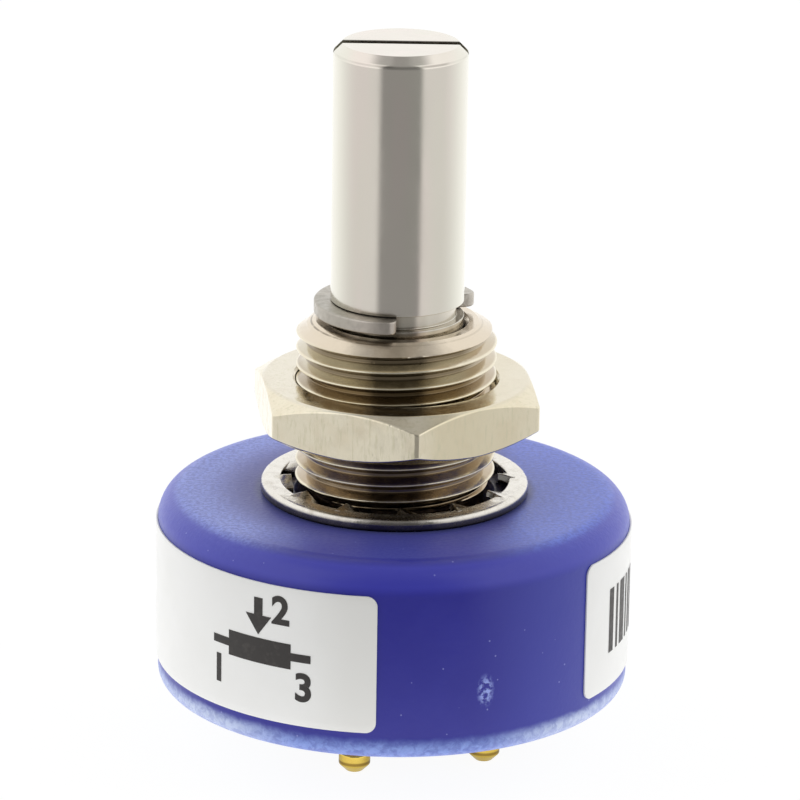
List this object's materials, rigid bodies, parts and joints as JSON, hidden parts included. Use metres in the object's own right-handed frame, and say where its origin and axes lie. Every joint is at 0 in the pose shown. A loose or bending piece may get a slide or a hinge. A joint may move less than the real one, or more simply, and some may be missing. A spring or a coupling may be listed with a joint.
{
  "type": "rotary potentiometer",
  "caption": "Single-turn panel-mount rotary potentiometer: blue round case with wrap-round label, threaded bushing with hex nut and lock washer, slotted steel shaft and turret terminals.",
  "frame": {"origin": "centre of the housing's front face, where a panel would seat, on the shaft axis", "axes": "+Z along the shaft, away from the housing; -Y is the front side, which the picture shows; the screwdriver slot lies along X at rest"},
  "size_m": [0.0228, 0.0228, 0.034],
  "materials": {
    "blue_moulding": "satin moulded",
    "nickel_plate": "bright nickel plated",
    "stainless_steel": "ground",
    "spring_steel": "stamped, tumbled",
    "washer_steel": "bright plated",
    "label_film": "satin film",
    "gold_plate": "gold plated",
    "laminate": "pressed laminate",
    "conductive_plastic": "smooth film",
    "silver_film": "printed conductor",
    "natural_nylon": "matte",
    "black_moulding": "satin moulded",
    "contact_bronze": "rolled spring strip"
  },
  "bodies": {
    "case": {"housing": "blue_moulding", "bushing": "nickel_plate", "lock_washer": "washer_steel", "label": "label_film", "rear_cover": "blue_moulding", "terminal_1": "gold_plate", "terminal_2": "gold_plate", "terminal_3": "gold_plate", "element_plate": "laminate", "resistive_track": "conductive_plastic", "collector_ring": "silver_film", "start_lead": "silver_film", "end_lead": "silver_film", "inner_washer": "natural_nylon"},
    "rotor": {"shaft": "stainless_steel", "retaining_ring": "spring_steel", "rotor_hub": "black_moulding", "wiper_carrier": "contact_bronze", "track_brush": "contact_bronze", "collector_brush": "contact_bronze"},
    "nut": {"hex_nut": "nickel_plate"}
  },
  "joints": [
    {"name": "shaft_spin", "type": "hinge", "parent": "case", "child": "rotor", "pos_m": [0, 0, 0], "axis": [0, 0, 1], "range_deg": [-170, 170]},
    {"name": "nut_travel", "type": "slide", "parent": "case", "child": "nut", "axis": [0, 0, 1], "range_m": [-0.00238, 0.00278]}
  ]
}
